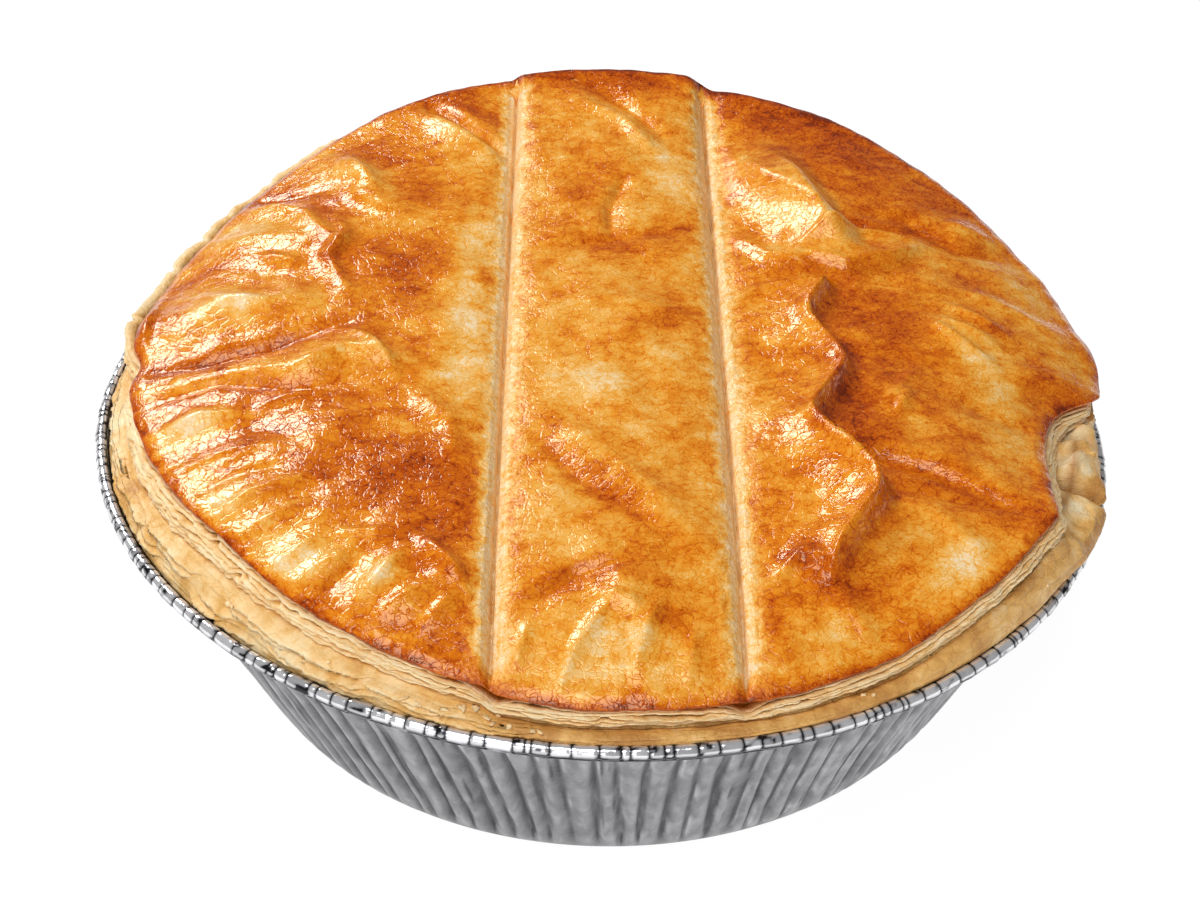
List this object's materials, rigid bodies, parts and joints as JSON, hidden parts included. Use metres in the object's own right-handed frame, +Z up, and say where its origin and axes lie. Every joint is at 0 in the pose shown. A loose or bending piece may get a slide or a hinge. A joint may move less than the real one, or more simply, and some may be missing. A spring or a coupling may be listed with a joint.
{
  "type": "chicken pot pie",
  "caption": "Baked round chicken pot pie with a glazed, scored, puffed lid and a layered edge, in its own fluted foil tin.",
  "frame": {"origin": "under the middle of the tin's rim, on the surface the tin stands on", "axes": "+Z up; -Y is the front, the side whose lid edge is lowest; +X is the side with the notch in the lid"},
  "size_m": [0.125, 0.125, 0.0473],
  "materials": {
    "foil": "crinkled aluminium foil, satin wall and bright rolled rim",
    "pale_pastry": "pale, dry, lightly baked pastry with flaky layers",
    "glazed_pastry": "egg-glazed pastry, mottled golden to brown, glossy and finely wrinkled"
  },
  "bodies": {
    "root": {"foil_tin": "foil", "pastry_case": "pale_pastry", "pastry_lid": "glazed_pastry"}
  },
  "joints": []
}
